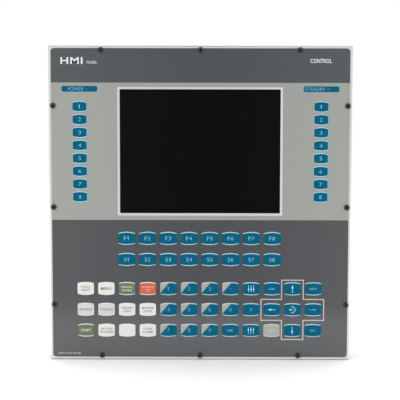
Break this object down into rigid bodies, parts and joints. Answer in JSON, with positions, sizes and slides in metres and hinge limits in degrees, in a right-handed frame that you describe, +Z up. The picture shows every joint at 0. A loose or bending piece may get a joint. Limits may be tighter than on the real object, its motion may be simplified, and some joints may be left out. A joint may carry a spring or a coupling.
{
  "type": "operator panel",
  "caption": "Flat operator panel for a machine tool: framed display, short-travel film keys in columns, rows and a block, shallow electronics box behind.",
  "frame": {"origin": "centre of the front plate's rear face, which lies against the console", "axes": "-Y out of the front face towards the operator, +Z up, +X to the right seen from the front"},
  "size_m": [0.4, 0.0998, 0.42],
  "materials": {
    "plate_metal": "clear anodised, matt",
    "film_grey": "fine-textured printed polyester",
    "screw_black": "blackened steel",
    "seal_rubber": "matt",
    "cover_glass": "polished",
    "lcd_black": "dark, switched off",
    "sheet_steel": "bright",
    "zinc_sheet": "zinc-plated sheet",
    "spacer_plastic": "matt",
    "board_green": "solder mask",
    "cable_grey": "matt",
    "connector_black": "moulded",
    "connector_shell": "nickel-plated",
    "key_white": "fine texture",
    "key_light_grey": "fine texture",
    "key_green": "fine texture",
    "key_red": "fine texture",
    "key_blue": "fine texture"
  },
  "bodies": {
    "panel": {"front_plate": "plate_metal", "graphic_overlay": "film_grey", "captive_screws": "screw_black", "console_gasket": "seal_rubber", "glass_gasket": "seal_rubber", "display_glass": "cover_glass", "lcd_module": "lcd_black", "lcd_bracket": "sheet_steel", "keypad_spacer": "spacer_plastic", "keypad_board_main": "board_green", "keypad_board_left": "board_green", "keypad_board_right": "board_green", "ribbon_cable": "cable_grey", "main_board": "board_green", "power_supply": "sheet_steel", "rear_housing": "zinc_sheet", "rear_cover": "zinc_sheet", "power_inlet": "connector_black", "serial_port": "connector_shell", "earth_stud": "sheet_steel"},
    "left_key_strip": {"left_key_strip": "key_blue"},
    "right_key_strip": {"right_key_strip": "key_blue"},
    "f_key_strip": {"f_key_strip": "key_blue"},
    "s_key_strip": {"s_key_strip": "key_blue"},
    "main_key_r1c01": {"main_key_r1c01": "key_white"},
    "main_key_r1c02": {"main_key_r1c02": "key_white"},
    "main_key_r1c03": {"main_key_r1c03": "key_green"},
    "main_key_r1c04": {"main_key_r1c04": "key_red"},
    "main_key_r1c05": {"main_key_r1c05": "key_blue"},
    "main_key_r1c06": {"main_key_r1c06": "key_blue"},
    "main_key_r1c07": {"main_key_r1c07": "key_blue"},
    "main_key_r1c08": {"main_key_r1c08": "key_blue"},
    "main_key_r1c09": {"main_key_r1c09": "key_blue"},
    "main_key_r1c10": {"main_key_r1c10": "key_blue"},
    "main_key_r1c11": {"main_key_r1c11": "key_blue"},
    "main_key_r1c12": {"main_key_r1c12": "key_blue"},
    "main_key_r2c01": {"main_key_r2c01": "key_light_grey"},
    "main_key_r2c02": {"main_key_r2c02": "key_light_grey"},
    "main_key_r2c03": {"main_key_r2c03": "key_white"},
    "main_key_r2c04": {"main_key_r2c04": "key_white"},
    "main_key_r2c05": {"main_key_r2c05": "key_blue"},
    "main_key_r2c06": {"main_key_r2c06": "key_blue"},
    "main_key_r2c07": {"main_key_r2c07": "key_blue"},
    "main_key_r2c08": {"main_key_r2c08": "key_blue"},
    "main_key_r2c09": {"main_key_r2c09": "key_blue"},
    "main_key_r2c10": {"main_key_r2c10": "key_blue"},
    "main_key_r2c11": {"main_key_r2c11": "key_blue"},
    "main_key_r2c12": {"main_key_r2c12": "key_blue"},
    "main_key_r3c01": {"main_key_r3c01": "key_green"},
    "main_key_r3c02": {"main_key_r3c02": "key_white"},
    "main_key_r3c03": {"main_key_r3c03": "key_white"},
    "main_key_r3c04": {"main_key_r3c04": "key_white"},
    "main_key_r3c05": {"main_key_r3c05": "key_blue"},
    "main_key_r3c06": {"main_key_r3c06": "key_blue"},
    "main_key_r3c07": {"main_key_r3c07": "key_blue"},
    "main_key_r3c08": {"main_key_r3c08": "key_blue"},
    "main_key_r3c09": {"main_key_r3c09": "key_blue"},
    "main_key_r3c10": {"main_key_r3c10": "key_light_grey"},
    "main_key_r3c11": {"main_key_r3c11": "key_blue"},
    "main_key_r3c12": {"main_key_r3c12": "key_blue"}
  },
  "joints": [
    {"name": "press_left_key_strip", "type": "slide", "parent": "panel", "child": "left_key_strip", "axis": [0, 1, 0], "range_m": [0, 0.0005], "stiffness_N_per_m": 3000, "springref_m": -0.0003},
    {"name": "press_right_key_strip", "type": "slide", "parent": "panel", "child": "right_key_strip", "axis": [0, 1, 0], "range_m": [0, 0.0005], "stiffness_N_per_m": 3000, "springref_m": -0.0003},
    {"name": "press_f_key_strip", "type": "slide", "parent": "panel", "child": "f_key_strip", "axis": [0, 1, 0], "range_m": [0, 0.0005], "stiffness_N_per_m": 3000, "springref_m": -0.0003},
    {"name": "press_s_key_strip", "type": "slide", "parent": "panel", "child": "s_key_strip", "axis": [0, 1, 0], "range_m": [0, 0.0005], "stiffness_N_per_m": 3000, "springref_m": -0.0003},
    {"name": "press_r1c01", "type": "slide", "parent": "panel", "child": "main_key_r1c01", "axis": [0, 1, 0], "range_m": [0, 0.0005], "stiffness_N_per_m": 1500, "springref_m": -0.0003},
    {"name": "press_r1c02", "type": "slide", "parent": "panel", "child": "main_key_r1c02", "axis": [0, 1, 0], "range_m": [0, 0.0005], "stiffness_N_per_m": 1500, "springref_m": -0.0003},
    {"name": "press_r1c03", "type": "slide", "parent": "panel", "child": "main_key_r1c03", "axis": [0, 1, 0], "range_m": [0, 0.0005], "stiffness_N_per_m": 1500, "springref_m": -0.0003},
    {"name": "press_r1c04", "type": "slide", "parent": "panel", "child": "main_key_r1c04", "axis": [0, 1, 0], "range_m": [0, 0.0005], "stiffness_N_per_m": 1500, "springref_m": -0.0003},
    {"name": "press_r1c05", "type": "slide", "parent": "panel", "child": "main_key_r1c05", "axis": [0, 1, 0], "range_m": [0, 0.0005], "stiffness_N_per_m": 1500, "springref_m": -0.0003},
    {"name": "press_r1c06", "type": "slide", "parent": "panel", "child": "main_key_r1c06", "axis": [0, 1, 0], "range_m": [0, 0.0005], "stiffness_N_per_m": 1500, "springref_m": -0.0003},
    {"name": "press_r1c07", "type": "slide", "parent": "panel", "child": "main_key_r1c07", "axis": [0, 1, 0], "range_m": [0, 0.0005], "stiffness_N_per_m": 1500, "springref_m": -0.0003},
    {"name": "press_r1c08", "type": "slide", "parent": "panel", "child": "main_key_r1c08", "axis": [0, 1, 0], "range_m": [0, 0.0005], "stiffness_N_per_m": 1500, "springref_m": -0.0003},
    {"name": "press_r1c09", "type": "slide", "parent": "panel", "child": "main_key_r1c09", "axis": [0, 1, 0], "range_m": [0, 0.0005], "stiffness_N_per_m": 1500, "springref_m": -0.0003},
    {"name": "press_r1c10", "type": "slide", "parent": "panel", "child": "main_key_r1c10", "axis": [0, 1, 0], "range_m": [0, 0.0005], "stiffness_N_per_m": 1500, "springref_m": -0.0003},
    {"name": "press_r1c11", "type": "slide", "parent": "panel", "child": "main_key_r1c11", "axis": [0, 1, 0], "range_m": [0, 0.0005], "stiffness_N_per_m": 1500, "springref_m": -0.0003},
    {"name": "press_r1c12", "type": "slide", "parent": "panel", "child": "main_key_r1c12", "axis": [0, 1, 0], "range_m": [0, 0.0005], "stiffness_N_per_m": 1500, "springref_m": -0.0003},
    {"name": "press_r2c01", "type": "slide", "parent": "panel", "child": "main_key_r2c01", "axis": [0, 1, 0], "range_m": [0, 0.0005], "stiffness_N_per_m": 1500, "springref_m": -0.0003},
    {"name": "press_r2c02", "type": "slide", "parent": "panel", "child": "main_key_r2c02", "axis": [0, 1, 0], "range_m": [0, 0.0005], "stiffness_N_per_m": 1500, "springref_m": -0.0003},
    {"name": "press_r2c03", "type": "slide", "parent": "panel", "child": "main_key_r2c03", "axis": [0, 1, 0], "range_m": [0, 0.0005], "stiffness_N_per_m": 1500, "springref_m": -0.0003},
    {"name": "press_r2c04", "type": "slide", "parent": "panel", "child": "main_key_r2c04", "axis": [0, 1, 0], "range_m": [0, 0.0005], "stiffness_N_per_m": 1500, "springref_m": -0.0003},
    {"name": "press_r2c05", "type": "slide", "parent": "panel", "child": "main_key_r2c05", "axis": [0, 1, 0], "range_m": [0, 0.0005], "stiffness_N_per_m": 1500, "springref_m": -0.0003},
    {"name": "press_r2c06", "type": "slide", "parent": "panel", "child": "main_key_r2c06", "axis": [0, 1, 0], "range_m": [0, 0.0005], "stiffness_N_per_m": 1500, "springref_m": -0.0003},
    {"name": "press_r2c07", "type": "slide", "parent": "panel", "child": "main_key_r2c07", "axis": [0, 1, 0], "range_m": [0, 0.0005], "stiffness_N_per_m": 1500, "springref_m": -0.0003},
    {"name": "press_r2c08", "type": "slide", "parent": "panel", "child": "main_key_r2c08", "axis": [0, 1, 0], "range_m": [0, 0.0005], "stiffness_N_per_m": 1500, "springref_m": -0.0003},
    {"name": "press_r2c09", "type": "slide", "parent": "panel", "child": "main_key_r2c09", "axis": [0, 1, 0], "range_m": [0, 0.0005], "stiffness_N_per_m": 1500, "springref_m": -0.0003},
    {"name": "press_r2c10", "type": "slide", "parent": "panel", "child": "main_key_r2c10", "axis": [0, 1, 0], "range_m": [0, 0.0005], "stiffness_N_per_m": 1500, "springref_m": -0.0003},
    {"name": "press_r2c11", "type": "slide", "parent": "panel", "child": "main_key_r2c11", "axis": [0, 1, 0], "range_m": [0, 0.0005], "stiffness_N_per_m": 1500, "springref_m": -0.0003},
    {"name": "press_r2c12", "type": "slide", "parent": "panel", "child": "main_key_r2c12", "axis": [0, 1, 0], "range_m": [0, 0.0005], "stiffness_N_per_m": 1500, "springref_m": -0.0003},
    {"name": "press_r3c01", "type": "slide", "parent": "panel", "child": "main_key_r3c01", "axis": [0, 1, 0], "range_m": [0, 0.0005], "stiffness_N_per_m": 1500, "springref_m": -0.0003},
    {"name": "press_r3c02", "type": "slide", "parent": "panel", "child": "main_key_r3c02", "axis": [0, 1, 0], "range_m": [0, 0.0005], "stiffness_N_per_m": 1500, "springref_m": -0.0003},
    {"name": "press_r3c03", "type": "slide", "parent": "panel", "child": "main_key_r3c03", "axis": [0, 1, 0], "range_m": [0, 0.0005], "stiffness_N_per_m": 1500, "springref_m": -0.0003},
    {"name": "press_r3c04", "type": "slide", "parent": "panel", "child": "main_key_r3c04", "axis": [0, 1, 0], "range_m": [0, 0.0005], "stiffness_N_per_m": 1500, "springref_m": -0.0003},
    {"name": "press_r3c05", "type": "slide", "parent": "panel", "child": "main_key_r3c05", "axis": [0, 1, 0], "range_m": [0, 0.0005], "stiffness_N_per_m": 1500, "springref_m": -0.0003},
    {"name": "press_r3c06", "type": "slide", "parent": "panel", "child": "main_key_r3c06", "axis": [0, 1, 0], "range_m": [0, 0.0005], "stiffness_N_per_m": 1500, "springref_m": -0.0003},
    {"name": "press_r3c07", "type": "slide", "parent": "panel", "child": "main_key_r3c07", "axis": [0, 1, 0], "range_m": [0, 0.0005], "stiffness_N_per_m": 1500, "springref_m": -0.0003},
    {"name": "press_r3c08", "type": "slide", "parent": "panel", "child": "main_key_r3c08", "axis": [0, 1, 0], "range_m": [0, 0.0005], "stiffness_N_per_m": 1500, "springref_m": -0.0003},
    {"name": "press_r3c09", "type": "slide", "parent": "panel", "child": "main_key_r3c09", "axis": [0, 1, 0], "range_m": [0, 0.0005], "stiffness_N_per_m": 1500, "springref_m": -0.0003},
    {"name": "press_r3c10", "type": "slide", "parent": "panel", "child": "main_key_r3c10", "axis": [0, 1, 0], "range_m": [0, 0.0005], "stiffness_N_per_m": 1500, "springref_m": -0.0003},
    {"name": "press_r3c11", "type": "slide", "parent": "panel", "child": "main_key_r3c11", "axis": [0, 1, 0], "range_m": [0, 0.0005], "stiffness_N_per_m": 1500, "springref_m": -0.0003},
    {"name": "press_r3c12", "type": "slide", "parent": "panel", "child": "main_key_r3c12", "axis": [0, 1, 0], "range_m": [0, 0.0005], "stiffness_N_per_m": 1500, "springref_m": -0.0003}
  ]
}
